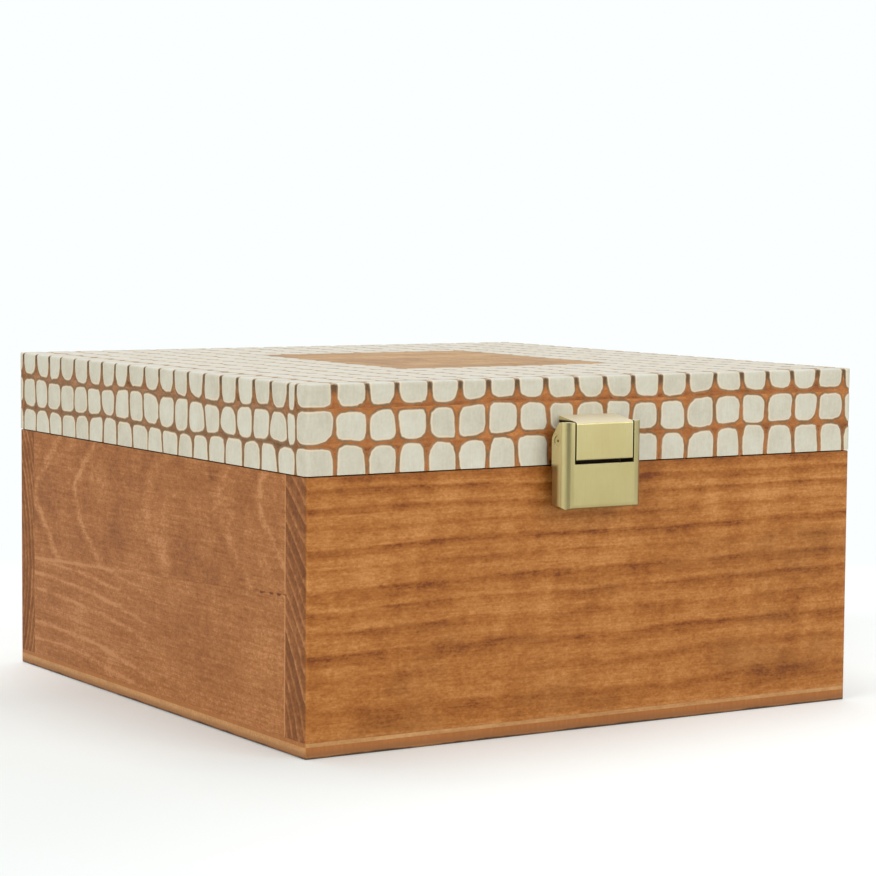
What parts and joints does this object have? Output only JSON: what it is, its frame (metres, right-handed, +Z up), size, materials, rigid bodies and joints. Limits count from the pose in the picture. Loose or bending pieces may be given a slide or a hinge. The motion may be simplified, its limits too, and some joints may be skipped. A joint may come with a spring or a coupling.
{
  "type": "wooden compartment box",
  "caption": "Square stained-wood box with crossed dividers inside, a painted lid on stop hinges at the back and a snap lever latch on the front.",
  "frame": {"origin": "centre of the underside of the box, on the surface that it stands on", "axes": "+X to the right along the front, +Y to the back where the hinges are, +Z up"},
  "size_m": [0.17, 0.1825, 0.091],
  "materials": {
    "stained_pine_front": "satin orange-brown stain, straight grain along X",
    "stained_pine_side": "satin brown stain, arched grain",
    "stained_pine_base": "plywood with a satin light brown stain",
    "divider_pine": "lightly stained, satin",
    "painted_lid": "brown-stained wood whose outside is painted in rounded matte off-white cells",
    "hinge_brass": "satin",
    "latch_brass": "pale satin",
    "fixing_brass": "satin"
  },
  "bodies": {
    "box": {"base_board": "stained_pine_base", "front_board": "stained_pine_front", "back_board": "stained_pine_front", "left_side_upper": "stained_pine_side", "left_side_lower": "stained_pine_side", "right_side_upper": "stained_pine_side", "right_side_lower": "stained_pine_side", "dividers_lengthwise": "divider_pine", "dividers_crosswise": "divider_pine", "hinge_box_leaf_left": "hinge_brass", "hinge_box_leaf_right": "hinge_brass", "hinge_pin_left": "hinge_brass", "hinge_pin_right": "hinge_brass", "hinge_box_screws": "fixing_brass", "latch_keeper": "latch_brass", "latch_keeper_screws": "fixing_brass"},
    "lid": {"lid_top_board": "painted_lid", "lid_front_board": "painted_lid", "lid_back_board": "painted_lid", "lid_left_board": "painted_lid", "lid_right_board": "painted_lid", "hinge_lid_leaf_left": "hinge_brass", "hinge_lid_leaf_right": "hinge_brass", "hinge_lid_screws": "fixing_brass", "latch_bracket": "latch_brass", "latch_bracket_screws": "fixing_brass", "latch_pivot_rivets": "fixing_brass"},
    "lever": {"latch_lever": "latch_brass"}
  },
  "joints": [
    {"name": "lid_hinge", "type": "hinge", "parent": "box", "child": "lid", "pos_m": [0, 0.0874, 0.06875], "axis": [-1, 0, 0], "range_deg": [0, 100]},
    {"name": "latch_pivot", "type": "hinge", "parent": "lid", "child": "lever", "pos_m": [-0.00275, -0.0896, 0.0753], "axis": [-1, 0, 0], "range_deg": [0, 70]}
  ]
}
